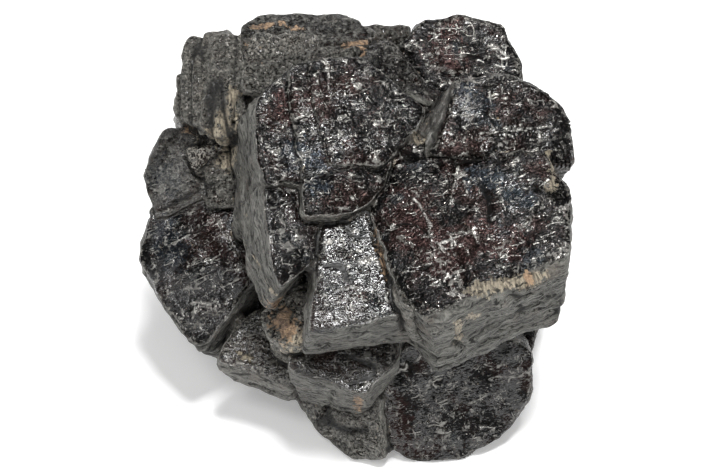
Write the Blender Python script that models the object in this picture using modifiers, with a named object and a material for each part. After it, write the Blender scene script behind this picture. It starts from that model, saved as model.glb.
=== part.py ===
# Cluster of cubic limonite crystals grown together, standing on a flat of its own.
# +X is to the right of the seen side, -Y is its front, +Z is up. Lengths in the tables are mm.
import math

import bmesh
import bpy
import numpy as np
from mathutils import Euler, Matrix, Vector, noise

MM = 0.001
BLANK_MM = 120.0       # side of the cube that a crystal is cut from
WORN_EDGE_MM = 0.8     # flat left where an edge is rubbed down
STEP_EDGE_MM = 0.25
STEP_INSET_MM = 0.5    # how far a growth step stays inside its crystal's walls
STEP_ROOT_MM = 3.0
GRAIN_MM = 0.7         # spacing of the points while the surface is worn
SWELL_MM = 0.5         # height of the slow waves on a face
SWELL_SPAN_MM = 9.0
DENT_MM = 0.32         # height of the hammered dents
DENT_SPAN_MM = 3.2
SEAM_MM = 0.7          # depth of the furrow where two crystals meet
SEAM_SPAN_MM = 0.8
MOST_TRIANGLES = 9800

# Each crystal: middle of its main face, turn in degrees, depth under that face, then its
# walls as (direction in degrees round the face, reach from the middle, lean off upright).
SEEN_CRYSTALS = {
    "table": ((-3.5, -3.5, 65.5), (29, 5, 14), 34,
              ((176, 15.5, 2), (124, 14, 4), (88, 13, 2), (38, 15, 4), (338, 16.5, 2), (312, 14, 2),
               (270, 12, 0))),
    "table_lip": ((0, -16, 58.5), (36, 6, 15), 26,
                  ((90, 6, 0), (329, 5, 4), (293, 3.5, 6), (265, 4.5, 4), (180, 10, 0))),
    "lower_table": ((-12.5, -23.5, 54.5), (36, 9, 22), 15,
                    ((84, 10.5, 0), (20, 12, 0), (334, 6.5, 6), (305, 6.5, 6), (191, 5.5, -3), (174, 4, 0))),
    "broad": ((23.5, -21.5, 55.5), (21, -9, 10), 19,
              ((148, 20.5, 2), (112, 22, 2), (64, 17, 2), (14, 18.5, -2), (340, 17.5, -3), (281, 13, 48),
               (281, 15.5, 6), (208, 21, 2), (184, 18.5, 8))),
    "broad_corner": ((12, -33, 49.5), (23, -7, 4), 11,
                     ((186, 4.5, 8), (216, 4.5, 8), (292, 4, 10), (8, 7.5, 0), (71, 8, 0))),
    "shoulder": ((29, -3.5, 64.5), (35, 1, 13), 32,
                 ((178, 15.5, 2), (135, 13, 2), (150, 11, 35), (91, 10.5, 2), (54, 10.5, 2), (30, 11.5, 2),
                  (353, 13, 2), (258, 7, 0))),
    "back_right": ((22, 20.5, 63), (38, 1, 1), 30,
                   ((200, 11.5, 2), (141, 11.5, 4), (105, 9.5, 2), (72, 9, 4), (26, 10.5, 2), (350, 12.5, 4),
                    (272, 10, 0))),
    "saddle": ((6.5, 16, 63.5), (40, 7, 7), 26,
               ((180, 10, 0), (103, 6, 2), (35, 4.5, 4), (350, 8, 0), (284, 10, 0))),
    "notch": ((6, 29, 60.5), (36, 0, 4), 22,
              ((180, 5, 0), (90, 4, 2), (0, 6, 0), (270, 8, 0))),
    "ribbed": ((-29, 15, 62), (44, -5, -6), 30,
               ((173, 6.5, 2), (112, 9, 2), (89, 9.5, 2), (5, 8, 2), (275, 13, 2), (244, 10.5, 2))),
    "crest": ((-11.5, 24, 67.5), (8, 0, 2), 28,
              ((180, 12, 4), (135, 9, 4), (90, 5, 4), (46, 10.5, 4), (345, 16, 4), (265, 5, 6))),
    "crest_front": ((-14, 17.8, 65.8), (45, -1, 1), 20,
                    ((178, 9, 2), (136, 7.5, 4), (84, 4, 4), (13, 8, 0), (280, 5, 6))),
    "wedge": ((-16, 11.5, 66.4), (35, -7, 4), 20,
              ((174, 6, 4), (104, 3.5, 4), (89, 3, 4), (304, 8, 0), (245, 5, 4))),
    "matrix": ((-26, 9, 48.5), (40, -7, 0), 16,
               ((85, 10, 0), (0, 5, 0), (265, 12, 0), (180, 5, 0))),
    "upper_left": ((-34, 8, 45), (39, -14, -1), 26,
                   ((150, 8, 2), (85, 8.5, 0), (30, 11, 0), (345, 12, 0), (283, 8, 0), (187, 9.5, 2))),
    "lower_left": ((-31.5, -6.5, 32), (33, -19, 8), 26,
                   ((96, 15, 0), (16, 13.5, 0), (354, 11.5, 2), (305, 12, 2), (250, 17, 0), (205, 12, 0),
                    (189, 11.5, 0), (151, 13, 0))),
    "toe": ((-17.5, -20.5, 21.5), (24, 2, -15), 10,
            ((168, 8, 0), (137, 8.5, 0), (83, 14, 0), (8, 9, 0), (300, 9, 0), (260, 6, 0))),
    "root": ((-13.5, -24.5, 33.5), (30, -5, -20), 20,
             ((151, 5, 6), (100, 6, 4), (21, 6, 0), (318, 7, 0), (259, 5, 6), (210, 4.5, 8))),
    "mirror": ((1.5, -28, 48.5), (28, 0, 4), 13,
               ((173, 9.5, 4), (137, 12, 0), (87, 14, 0), (10, 17, 0), (330, 16, 0), (276, 9.5, 4))),
    "chip": ((-4.5, -32, 27), (26, 0, 0), 20,
             ((184, 8, 0), (90, 12, 0), (0, 13, 0), (315, 8, 0), (255, 3, -4))),
    "foot": ((19.5, -26, 12), (65, -6, 11), 42,
             ((175, 17, -3), (130, 18, 0), (88, 14.5, -6), (45, 18.5, -3), (346, 16.5, -3), (318, 14, -3),
              (289, 13, -3), (262, 13, -3), (235, 15, -3))),
    "foot_side": ((-5, -26.5, 7), (70, -25, -23), 36,
                  ((195, 6, 0), (91, 10, 0), (350, 12, 0), (270, 9, 0), (235, 5.5, 0))),
}

# The far side and the underside, which the rest of the growth hides.
HIDDEN_CRYSTALS = {
    "heart": ((2, 6, 50), (0, 0, 8), 50,
              ((0, 26, 0), (45, 29, 0), (90, 20, 0), (135, 26, 0), (180, 24, 0), (225, 22, 0),
               (270, 20, 0), (315, 28, 0))),
    "rear_left": ((-24, 26, 47), (-22, -16, 20), 34,
                  ((0, 17, 2), (90, 12, 2), (180, 14, 2), (270, 16, 2), (128, 17, 2))),
    "rear_middle": ((3, 30, 50), (-34, 6, -8), 34,
                    ((0, 15, 2), (90, 14, 2), (180, 15, 2), (270, 20, 2), (40, 18, 2), (220, 20, 2))),
    "rear_right": ((27, 23, 50), (-18, 22, -14), 36,
                   ((0, 13, 1), (90, 12, 1), (180, 18, 1), (270, 18, 1), (50, 16, 1))),
    "right_side": ((29, 6, 37), (8, 34, 6), 28,
                   ((0, 10, 1), (90, 15, 1), (180, 16, 1), (270, 12, 1), (320, 11.5, 1))),
    "rear_foot_left": ((-18, 27, 22), (-38, -12, 30), 30,
                       ((0, 16, 0), (90, 12, 0), (180, 15, 0), (270, 18, 0), (140, 18, 0))),
    "rear_foot_right": ((19, 29, 24), (-42, 10, -24), 32,
                        ((0, 15, 0), (90, 13, 0), (180, 17, 0), (270, 18, 0), (35, 17, 0))),
    "left_foot": ((-29, 12, 22), (10, -34, 14), 26,
                  ((0, 14, 0), (90, 16, 0), (180, 12, 0), (270, 14, 0), (215, 16, 0))),
    "under_table": ((-9, -13, 47), (20, 0, 14), 36,
                    ((0, 15, 0), (90, 12, 0), (180, 9, 0), (270, 9, 0), (225, 11, 0))),
    "under_broad": ((23, -16.5, 30), (78, 0, 6), 30,
                    ((0, 10, 0), (90, 11, 0), (180, 16, 0), (270, 12, 0))),
    "right_foot": ((28, -2, 20), (4, 18, -16), 26,
                   ((0, 13, 0), (90, 16, 0), (180, 18, 0), (270, 16, 0), (315, 17, 0))),
}

# Growth steps on a crystal's main face. Each keeps the crystal's outline, stops at walls of
# its own, and stands this far above the face.
STEPS = {
    "table": ((1.0, ((176, 8.5, 0),)), (1.6, ((178, 4, 0), (262, 7, 0)))),
    "broad": ((0.5, ((206, 13, 0),)), (0.9, ((218, 3, 0), (300, 8, 0)))),
    "shoulder": ((0.4, ((280, 6, 0), (170, 8, 0))),),
    "lower_left": ((0.6, ((12, 8, 0), (280, 12, 0))), (1.0, ((30, 2, 0), (276, 3, 0)))),
    "back_right": ((0.4, ((262, 4, 0), (190, 6, 0))),),
    "foot": ((0.6, ((197, 11, 0),)), (0.9, ((25, 9, 0), (200, 5, 0)))),
    "ribbed": ((1.4, ((176, 0.5, 0),)),),
    "rear_middle": ((1.0, ((200, 6, 0),)), (1.9, ((290, 4, 0), (195, 1, 0)))),
    "rear_right": ((1.0, ((95, 8, 0),)), (1.8, ((80, 3, 0), (10, 7, 0)))),
    "rear_left": ((1.1, ((275, 7, 0),)),),
    "right_side": ((0.9, ((275, 7, 0), (10, 10, 0))),),
    "rear_foot_right": ((1.0, ((80, 7, 0),)),),
}


def clear_scene():
    for old in list(bpy.data.objects):
        bpy.data.objects.remove(old, do_unlink=True)


def new_collection(name):
    made = bpy.data.collections.new(name)
    bpy.context.scene.collection.children.link(made)
    return made


def limonite():
    made = bpy.data.materials.new("limonite")
    made.use_nodes = True
    shader = made.node_tree.nodes["Principled BSDF"]
    shader.inputs["Base Color"].default_value = (0.035, 0.029, 0.027, 1.0)
    shader.inputs["Roughness"].default_value = 0.38
    shader.inputs["Metallic"].default_value = 0.25
    return made


def wall_plane(wall):
    """A point of the wall and the way it faces, in the crystal's own frame."""
    heading, reach, lean = wall
    out = Matrix.Rotation(math.radians(heading), 3, "Z") @ Vector((1, 0, 0))
    tilt = math.radians(lean)
    return out * reach, out * math.cos(tilt) + Vector((0, 0, math.sin(tilt)))


def placement(at, turn):
    angles = Euler([math.radians(angle) for angle in turn], "XYZ")
    return Matrix.Translation(Vector(at)) @ angles.to_matrix().to_4x4()


def cut_block(depth, walls, worn, lift=0.0):
    """A block with its main face at this lift, cut from a cube by one plane for each wall."""
    shape = bmesh.new()
    bmesh.ops.create_cube(shape, size=BLANK_MM)
    bmesh.ops.scale(shape, vec=(1, 1, depth / BLANK_MM), verts=shape.verts)
    bmesh.ops.translate(shape, vec=(0, 0, lift - depth / 2), verts=shape.verts)
    for wall in walls:
        point, facing = wall_plane(wall)
        parts = shape.verts[:] + shape.edges[:] + shape.faces[:]
        bmesh.ops.bisect_plane(shape, geom=parts, plane_co=point, plane_no=facing, clear_outer=True)
        rim = [side for side in shape.edges if side.is_boundary]
        bmesh.ops.holes_fill(shape, edges=rim)
    bmesh.ops.bevel(shape, geom=shape.edges[:], offset=worn, segments=1,
                    affect="EDGES", clamp_overlap=True)
    return shape


def add_block(growth, shape, where):
    bmesh.ops.transform(shape, matrix=where, verts=shape.verts)
    bmesh.ops.recalc_face_normals(shape, faces=shape.faces)
    block = bpy.data.meshes.new("block")
    shape.to_mesh(block)
    shape.free()
    growth.from_mesh(block)
    bpy.data.meshes.remove(block)


def grow_all(crystals):
    """Every crystal and growth step as closed blocks that reach well into each other."""
    growth = bmesh.new()
    for name, (at, turn, depth, walls) in crystals.items():
        where = placement(at, turn)
        add_block(growth, cut_block(depth, walls, WORN_EDGE_MM), where)
        inset = tuple((heading, reach - STEP_INSET_MM, lean) for heading, reach, lean in walls)
        for rise, stops in STEPS.get(name, ()):
            step = cut_block(rise + STEP_ROOT_MM, inset + stops, STEP_EDGE_MM, rise)
            add_block(growth, step, where)
    return growth


def depths_in(points, crystals):
    """How far each point lies outside each crystal, negative inside it."""
    found = []
    for at, turn, depth, walls in crystals.values():
        back = placement(at, turn).inverted()
        own = points @ np.array(back.to_3x3()).T + np.array(back.translation)
        planes = [wall_plane(wall) for wall in walls]
        planes += [(Vector((0, 0, 0)), Vector((0, 0, 1))), (Vector((0, 0, -depth)), Vector((0, 0, -1)))]
        sides = [(own - np.array(point)) @ np.array(facing) for point, facing in planes]
        found.append(np.max(sides, axis=0))
    return np.array(found)


def evaluated(thing):
    bpy.context.view_layer.update()
    graph = bpy.context.evaluated_depsgraph_get()
    made = bpy.data.meshes.new_from_object(thing.evaluated_get(graph))
    thing.modifiers.clear()
    thing.data = made


def fuse(thing):
    """One skin round all the blocks."""
    skin = thing.modifiers.new("one skin", "REMESH")
    skin.mode = "VOXEL"
    skin.voxel_size = GRAIN_MM
    evaluated(thing)


def wear(thing, crystals):
    """Sinks the seams between crystals and moves the faces by slow swells and sharper dents."""
    shape = bmesh.new()
    shape.from_mesh(thing.data)
    shape.normal_update()
    points = np.array([point.co for point in shape.verts])
    nearest = np.sort(np.abs(depths_in(points, crystals)), axis=0)
    seam = np.exp(-((nearest[1] - nearest[0]) / SEAM_SPAN_MM) ** 2) * SEAM_MM
    away = Vector((13.7, 5.1, 9.3))
    for point, sink in zip(shape.verts, seam):
        swell = noise.noise(point.co / SWELL_SPAN_MM + away) * SWELL_MM
        dent = noise.noise(point.co / DENT_SPAN_MM - away) * DENT_MM
        point.co += point.normal * (swell + dent - float(sink))
    shape.to_mesh(thing.data)
    shape.free()


def thin_out(thing):
    """Keeps the points where the surface bends and drops them where it's flat."""
    count = sum(len(face.vertices) - 2 for face in thing.data.polygons)
    fewer = thing.modifiers.new("fewer facets", "DECIMATE")
    fewer.ratio = MOST_TRIANGLES / count
    fewer.use_collapse_triangulate = True
    evaluated(thing)


def linked_points(start):
    """The point and all those that edges join to it."""
    found = {start}
    waiting = [start]
    while waiting:
        point = waiting.pop()
        for side in point.link_edges:
            other = side.other_vert(point)
            if other not in found:
                found.add(other)
                waiting.append(other)
    return found


def drop_crumbs(shape):
    """Leaves the cluster alone and removes grains that came away from it."""
    bodies = []
    counted = set()
    for point in shape.verts:
        if point not in counted:
            bodies.append(linked_points(point))
            counted |= bodies[-1]
    largest = max(bodies, key=len)
    crumbs = [point for point in shape.verts if point not in largest]
    bmesh.ops.delete(shape, geom=crumbs, context="VERTS")


def stand_on_floor(thing):
    """Cuts the underside off level, which is the flat that it rests on."""
    shape = bmesh.new()
    shape.from_mesh(thing.data)
    parts = shape.verts[:] + shape.edges[:] + shape.faces[:]
    bmesh.ops.bisect_plane(shape, geom=parts, plane_co=(0, 0, 0), plane_no=(0, 0, -1),
                           clear_outer=True)
    drop_crumbs(shape)
    rim = [side for side in shape.edges if side.is_boundary]
    bmesh.ops.triangle_fill(shape, edges=rim, use_beauty=True)
    bmesh.ops.triangulate(shape, faces=shape.faces)
    bmesh.ops.recalc_face_normals(shape, faces=shape.faces)
    shape.to_mesh(thing.data)
    shape.free()


def centre_and_scale(thing):
    """Puts the middle of the footprint box on the origin and turns mm into metres."""
    shape = bmesh.new()
    shape.from_mesh(thing.data)
    spots = np.array([point.co for point in shape.verts])
    middle = (spots.min(axis=0) + spots.max(axis=0)) / 2
    bmesh.ops.translate(shape, vec=(-middle[0], -middle[1], 0), verts=shape.verts)
    bmesh.ops.scale(shape, vec=(MM, MM, MM), verts=shape.verts)
    shape.to_mesh(thing.data)
    shape.free()


clear_scene()
specimen = new_collection("limonite_after_pyrite")
all_crystals = {**HIDDEN_CRYSTALS, **SEEN_CRYSTALS}
growth = grow_all(all_crystals)
body = bpy.data.meshes.new("crystal_cluster")
growth.to_mesh(body)
growth.free()
cluster = bpy.data.objects.new("crystal_cluster", body)
specimen.objects.link(cluster)
fuse(cluster)
wear(cluster, all_crystals)
thin_out(cluster)
stand_on_floor(cluster)
centre_and_scale(cluster)
cluster.data.materials.clear()
cluster.data.materials.append(limonite())
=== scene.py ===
import itertools
import math

import bpy
import numpy as np
from mathutils import Euler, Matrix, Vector


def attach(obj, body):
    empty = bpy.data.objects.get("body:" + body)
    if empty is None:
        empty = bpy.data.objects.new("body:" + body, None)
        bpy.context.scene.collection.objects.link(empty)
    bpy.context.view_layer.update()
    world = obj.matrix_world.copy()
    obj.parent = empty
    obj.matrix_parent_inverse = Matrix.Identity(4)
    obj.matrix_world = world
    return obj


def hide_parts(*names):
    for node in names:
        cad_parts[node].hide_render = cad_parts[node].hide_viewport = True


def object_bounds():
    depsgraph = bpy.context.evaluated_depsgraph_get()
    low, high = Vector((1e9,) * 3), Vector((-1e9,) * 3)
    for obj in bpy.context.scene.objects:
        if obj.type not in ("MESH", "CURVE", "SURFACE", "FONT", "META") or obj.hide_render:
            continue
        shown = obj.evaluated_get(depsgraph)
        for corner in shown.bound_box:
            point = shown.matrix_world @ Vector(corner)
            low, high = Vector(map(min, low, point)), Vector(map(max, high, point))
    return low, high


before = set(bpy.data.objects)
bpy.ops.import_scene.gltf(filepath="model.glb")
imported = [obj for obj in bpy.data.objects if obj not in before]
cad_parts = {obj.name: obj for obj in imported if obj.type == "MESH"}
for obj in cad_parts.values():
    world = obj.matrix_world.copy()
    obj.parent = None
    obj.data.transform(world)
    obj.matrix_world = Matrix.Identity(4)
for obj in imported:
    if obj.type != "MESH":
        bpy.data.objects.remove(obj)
cad_low, cad_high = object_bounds()

# The crystals: cubes of limonite that replaced pyrite and kept its shape, grown into each
# other. Each is a main face with walls round it, in mm: middle of the face, turn in degrees,
# depth, and each wall's direction round the face, reach from its middle and lean.
MIDDLE_MM = np.array((0.0, 3.9, 0.0))
CRYSTALS = {
    "heart": ((2, 6, 50), (0, 0, 8), 50,
              ((0, 26, 0), (45, 29, 0), (90, 20, 0), (135, 26, 0), (180, 24, 0), (225, 22, 0),
               (270, 20, 0), (315, 28, 0))),
    "rear_left": ((-24, 26, 47), (-22, -16, 20), 34,
                  ((0, 17, 2), (90, 12, 2), (180, 14, 2), (270, 16, 2), (128, 17, 2))),
    "rear_middle": ((3, 30, 50), (-34, 6, -8), 34,
                    ((0, 15, 2), (90, 14, 2), (180, 15, 2), (270, 20, 2), (40, 18, 2),
                     (220, 20, 2))),
    "rear_right": ((27, 23, 50), (-18, 22, -14), 36,
                   ((0, 13, 1), (90, 12, 1), (180, 18, 1), (270, 18, 1), (50, 16, 1))),
    "right_side": ((29, 6, 37), (8, 34, 6), 28,
                   ((0, 10, 1), (90, 15, 1), (180, 16, 1), (270, 12, 1), (320, 11.5, 1))),
    "rear_foot_left": ((-18, 27, 22), (-38, -12, 30), 30,
                       ((0, 16, 0), (90, 12, 0), (180, 15, 0), (270, 18, 0), (140, 18, 0))),
    "rear_foot_right": ((19, 29, 24), (-42, 10, -24), 32,
                        ((0, 15, 0), (90, 13, 0), (180, 17, 0), (270, 18, 0), (35, 17, 0))),
    "left_foot": ((-29, 12, 22), (10, -34, 14), 26,
                  ((0, 14, 0), (90, 16, 0), (180, 12, 0), (270, 14, 0), (215, 16, 0))),
    "under_table": ((-9, -13, 47), (20, 0, 14), 36,
                    ((0, 15, 0), (90, 12, 0), (180, 9, 0), (270, 9, 0), (225, 11, 0))),
    "under_broad": ((23, -16.5, 30), (78, 0, 6), 30,
                    ((0, 10, 0), (90, 11, 0), (180, 16, 0), (270, 12, 0))),
    "right_foot": ((28, -2, 20), (4, 18, -16), 26,
                   ((0, 13, 0), (90, 16, 0), (180, 18, 0), (270, 16, 0), (315, 17, 0))),
    "table": ((-3.5, -3.5, 65.5), (29, 5, 14), 34,
              ((176, 15.5, 2), (124, 14, 4), (88, 13, 2), (38, 15, 4), (338, 16.5, 2), (312, 14, 2),
               (270, 12, 0))),
    "table_lip": ((0, -16, 58.5), (36, 6, 15), 26,
                  ((90, 6, 0), (329, 5, 4), (293, 3.5, 6), (265, 4.5, 4), (180, 10, 0))),
    "lower_table": ((-12.5, -23.5, 54.5), (36, 9, 22), 15,
                    ((84, 10.5, 0), (20, 12, 0), (334, 6.5, 6), (305, 6.5, 6), (191, 5.5, -3),
                     (174, 4, 0))),
    "broad": ((23.5, -21.5, 55.5), (21, -9, 10), 19,
              ((148, 20.5, 2), (112, 22, 2), (64, 17, 2), (14, 18.5, -2), (340, 17.5, -3),
               (281, 13, 48), (281, 15.5, 6), (208, 21, 2), (184, 18.5, 8))),
    "broad_corner": ((12, -33, 49.5), (23, -7, 4), 11,
                     ((186, 4.5, 8), (216, 4.5, 8), (292, 4, 10), (8, 7.5, 0), (71, 8, 0))),
    "shoulder": ((29, -3.5, 64.5), (35, 1, 13), 32,
                 ((178, 15.5, 2), (135, 13, 2), (150, 11, 35), (91, 10.5, 2), (54, 10.5, 2),
                  (30, 11.5, 2), (353, 13, 2), (258, 7, 0))),
    "back_right": ((22, 20.5, 63), (38, 1, 1), 30,
                   ((200, 11.5, 2), (141, 11.5, 4), (105, 9.5, 2), (72, 9, 4), (26, 10.5, 2),
                    (350, 12.5, 4), (272, 10, 0))),
    "saddle": ((6.5, 16, 63.5), (40, 7, 7), 26,
               ((180, 10, 0), (103, 6, 2), (35, 4.5, 4), (350, 8, 0), (284, 10, 0))),
    "notch": ((6, 29, 60.5), (36, 0, 4), 22,
              ((180, 5, 0), (90, 4, 2), (0, 6, 0), (270, 8, 0))),
    "ribbed": ((-29, 15, 62), (44, -5, -6), 30,
               ((173, 6.5, 2), (112, 9, 2), (89, 9.5, 2), (5, 8, 2), (275, 13, 2), (244, 10.5, 2))),
    "crest": ((-11.5, 24, 67.5), (8, 0, 2), 28,
              ((180, 12, 4), (135, 9, 4), (90, 5, 4), (46, 10.5, 4), (345, 16, 4), (265, 5, 6))),
    "crest_front": ((-14, 17.8, 65.8), (45, -1, 1), 20,
                    ((178, 9, 2), (136, 7.5, 4), (84, 4, 4), (13, 8, 0), (280, 5, 6))),
    "wedge": ((-16, 11.5, 66.4), (35, -7, 4), 20,
              ((174, 6, 4), (104, 3.5, 4), (89, 3, 4), (304, 8, 0), (245, 5, 4))),
    "matrix": ((-26, 9, 48.5), (40, -7, 0), 16,
               ((85, 10, 0), (0, 5, 0), (265, 12, 0), (180, 5, 0))),
    "upper_left": ((-34, 8, 45), (39, -14, -1), 26,
                   ((150, 8, 2), (85, 8.5, 0), (30, 11, 0), (345, 12, 0), (283, 8, 0),
                    (187, 9.5, 2))),
    "lower_left": ((-31.5, -6.5, 32), (33, -19, 8), 26,
                   ((96, 15, 0), (16, 13.5, 0), (354, 11.5, 2), (305, 12, 2), (250, 17, 0),
                    (205, 12, 0), (189, 11.5, 0), (151, 13, 0))),
    "toe": ((-17.5, -20.5, 21.5), (24, 2, -15), 10,
            ((168, 8, 0), (137, 8.5, 0), (83, 14, 0), (8, 9, 0), (300, 9, 0), (260, 6, 0))),
    "root": ((-13.5, -24.5, 33.5), (30, -5, -20), 20,
             ((151, 5, 6), (100, 6, 4), (21, 6, 0), (318, 7, 0), (259, 5, 6), (210, 4.5, 8))),
    "mirror": ((1.5, -28, 48.5), (28, 0, 4), 13,
               ((173, 9.5, 4), (137, 12, 0), (87, 14, 0), (10, 17, 0), (330, 16, 0),
                (276, 9.5, 4))),
    "chip": ((-4.5, -32, 27), (26, 0, 0), 20,
             ((184, 8, 0), (90, 12, 0), (0, 13, 0), (315, 8, 0), (255, 3, -4))),
    "foot": ((19.5, -26, 12), (65, -6, 11), 42,
             ((175, 17, -3), (130, 18, 0), (88, 14.5, -6), (45, 18.5, -3), (346, 16.5, -3),
              (318, 14, -3), (289, 13, -3), (262, 13, -3), (235, 15, -3))),
    "foot_side": ((-5, -26.5, 7), (70, -25, -23), 36,
                  ((195, 6, 0), (91, 10, 0), (350, 12, 0), (270, 9, 0), (235, 5.5, 0))),
}
# Growth steps on the main faces, in mm: the rise of each, and the walls where it stops.
STEPS = {
    "table": ((1.0, ((176, 8.5, 0),)), (1.5, ((178, 4, 0), (262, 12, 55)))),
    "broad": ((0.35, ((206, 13, 0),)), (0.6, ((218, 3, 20), (300, 8, 60)))),
    "shoulder": ((0.4, ((280, 6, 0), (170, 8, 0))),),
    "lower_left": ((0.6, ((12, 8, 0), (280, 12, 0))), (1.0, ((30, 2, 0), (276, 3, 0)))),
    "back_right": ((0.4, ((262, 4, 0), (190, 6, 0))),),
    "foot": ((0.6, ((197, 11, 0),)), (0.9, ((25, 9, 0), (200, 5, 0)))),
    "ribbed": ((1.4, ((176, 0.5, 0),)),),
    "rear_middle": ((1.0, ((200, 6, 0),)), (1.9, ((290, 4, 0), (195, 1, 0)))),
    "rear_right": ((1.0, ((95, 8, 0),)), (1.8, ((80, 3, 0), (10, 7, 0)))),
    "rear_left": ((1.1, ((275, 7, 0),)),),
    "right_side": ((0.9, ((275, 7, 0), (10, 10, 0))),),
    "rear_foot_right": ((1.0, ((80, 7, 0),)),),
}
STEP_INSET_MM = 0.5
STEP_DEPTH_MM = 0.5
# A crystal's corners are taken to lie this many times as far out as its farthest wall, and a
# point of the skin belongs to it only if it is within this much of them.
CORNER_SHARE = 1.45
SKIN_NEAR_MM = 4
NAMES = list(CRYSTALS)


def wall_plane(wall):
    """Way a wall faces and how far it stands from the middle of the main face."""
    heading, reach, lean = wall
    across, tilt = math.radians(heading), math.radians(lean)
    facing = (math.cos(across) * math.cos(tilt), math.sin(across) * math.cos(tilt), math.sin(tilt))
    return facing, reach * math.cos(tilt)


def block_planes(depth, walls, rise=0.0):
    """The planes that bound a block: its top, its bottom and then its walls."""
    planes = [((0, 0, 1), rise), ((0, 0, -1), depth)] + [wall_plane(wall) for wall in walls]
    return np.array([facing for facing, _ in planes]), np.array([reach for _, reach in planes])


class Crystal:
    """One crystal's place and the planes of its block and growth steps."""

    def __init__(self, name):
        at, turn, depth, walls = CRYSTALS[name]
        self.turn = np.array(Euler([math.radians(angle) for angle in turn], "XYZ").to_matrix())
        self.at = np.array(at, float)
        inset = tuple((heading, reach - STEP_INSET_MM, lean) for heading, reach, lean in walls)
        self.blocks = [block_planes(depth, walls)]
        self.blocks += [block_planes(STEP_DEPTH_MM, inset + stops, rise)
                        for rise, stops in STEPS.get(name, ())]
        self.middle = self.at - self.turn @ np.array((0, 0, depth / 2))
        farthest = max(reach for _, reach, _ in walls)
        self.reach = math.hypot(farthest * CORNER_SHARE, depth / 2) + SKIN_NEAR_MM

    def own(self, spots):
        """Spots measured from the middle of the main face, along the crystal's own sides."""
        return (spots - self.at) @ self.turn

    def height(self, spots, sway, worn):
        """How far spots stand outside the crystal, which way that grows, and how much of each
        spot belongs to a wall and to an edge."""
        local = self.own(spots) + sway
        best = None
        for facings, reaches in self.blocks:
            sides = local @ facings.T - reaches
            top = sides.max(axis=1)
            weights = np.exp((sides - top[:, None]) / worn[:, None])
            total = weights.sum(axis=1)
            height = top + worn * np.log(total)
            weights /= total[:, None]
            uphill = weights @ facings
            wall = weights[:, 2:].sum(axis=1)
            edge = 1 - (weights ** 2).sum(axis=1)
            found = np.column_stack([height, uphill, wall, edge])
            best = found if best is None else np.where((height < best[:, 0])[:, None], found, best)
        best[:, 1:4] = best[:, 1:4] @ self.turn.T
        return best


crystals = [Crystal(name) for name in NAMES]


def scramble(cells, seed):
    """A number between -1 and 1 for each cell of a grid, the same on every run."""
    mixed = cells[:, 0] * 73856093 ^ cells[:, 1] * 19349663 ^ cells[:, 2] * 83492791 ^ seed * 40503
    mixed = (mixed ^ (mixed >> 13)) * 1274126177 & 0x7FFFFFFF
    mixed = (mixed ^ (mixed >> 16)) * 668265263 & 0x7FFFFFFF
    return (mixed ^ (mixed >> 15)) % 65536 / 32768.0 - 1.0


def swell(spots, seed):
    """Smooth waves between -1 and 1, one to each unit."""
    cells = np.floor(spots).astype(np.int64)
    part = spots - cells
    ease = part * part * (3 - 2 * part)
    total = np.zeros(len(spots))
    for corner in itertools.product((0, 1), repeat=3):
        corner = np.array(corner)
        share = np.prod(np.where(corner, ease, 1 - ease), axis=1)
        total += share * scramble(cells + corner, seed)
    return total


SLOW_WAVE_MM, QUICK_WAVE_MM, SMALL_WAVE_MM = 9.0, 3.2, 1.5


def sways(spots):
    """How far edges and walls wander from true, and the faces a little, in mm."""
    slow = [swell(spots / SLOW_WAVE_MM, seed) for seed in (71, 72, 73)]
    quick = [swell(spots / QUICK_WAVE_MM, seed) for seed in (74, 75, 76)]
    small = [swell(spots / SMALL_WAVE_MM, seed) for seed in (78, 79)]
    return np.column_stack([0.8 * slow[0] + 0.40 * quick[0] + 0.20 * small[0],
                            0.8 * slow[1] + 0.40 * quick[1] + 0.20 * small[1],
                            0.34 * slow[2] + 0.07 * quick[2]])


# Edges are rounded by this much wear, more in some places than in others, in mm.
EDGE_WEAR_MM, WEAR_CHANGE_MM, WEAR_PATCH_MM = 0.36, 0.20, 6.0
OUT_OF_REACH_MM = 50.0


def measure(spots):
    """For each spot its own crystal and the next one: heights, slopes, share of wall and edge."""
    sway = sways(spots)
    worn = EDGE_WEAR_MM + WEAR_CHANGE_MM * swell(spots / WEAR_PATCH_MM, 77)
    near = np.zeros((len(spots), 6))
    near[:, 0] = OUT_OF_REACH_MM
    far = near.copy()
    own = np.zeros(len(spots), int)
    other = own.copy()
    for index, crystal in enumerate(crystals):
        close = np.flatnonzero(((spots - crystal.middle) ** 2).sum(axis=1) < crystal.reach ** 2)
        if not len(close):
            continue
        height = crystal.height(spots[close], sway[close], worn[close])
        wins = height[:, 0] < near[close, 0]
        second = ~wins & (height[:, 0] < far[close, 0])
        far[close[wins]] = near[close[wins]]
        other[close[wins]] = own[close[wins]]
        near[close[wins]] = height[wins]
        own[close[wins]] = index
        far[close[second]] = height[second]
        other[close[second]] = index
    return {"own": own, "other": other, "near": near[:, 0], "slope": near[:, 1:4],
            "wall": near[:, 4], "edge": near[:, 5], "far": far[:, 0], "far_slope": far[:, 1:4]}


# The skin of the cluster, which stands for its one solid. The solid's surface is covered
# with even small facets, and these are drawn on to the crystals' own faces and walls, so
# that the faces lie flat and the worn edges run true.
FACET_MM = 0.42
MOST_TRIANGLES = 198000
# Points this low belong to the level underside, and stay on the floor.
UNDERSIDE_MM = 0.25
# How the points are drawn on to the crystals: passes, share of the way, and most in one pass.
PULLS, PULL_SHARE, MOST_PULL_MM = 3, 0.9, 1.2
# A seam's distance is kept up to here, and the turn between two faces is taken as at least this.
SEAM_REACH_MM, LEAST_TURN = 6, 0.12
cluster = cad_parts["crystal_cluster"]
skin = bpy.data.objects.new("crystal_skin", cluster.data.copy())
bpy.context.scene.collection.objects.link(skin)
skin.data.materials.clear()


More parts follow.
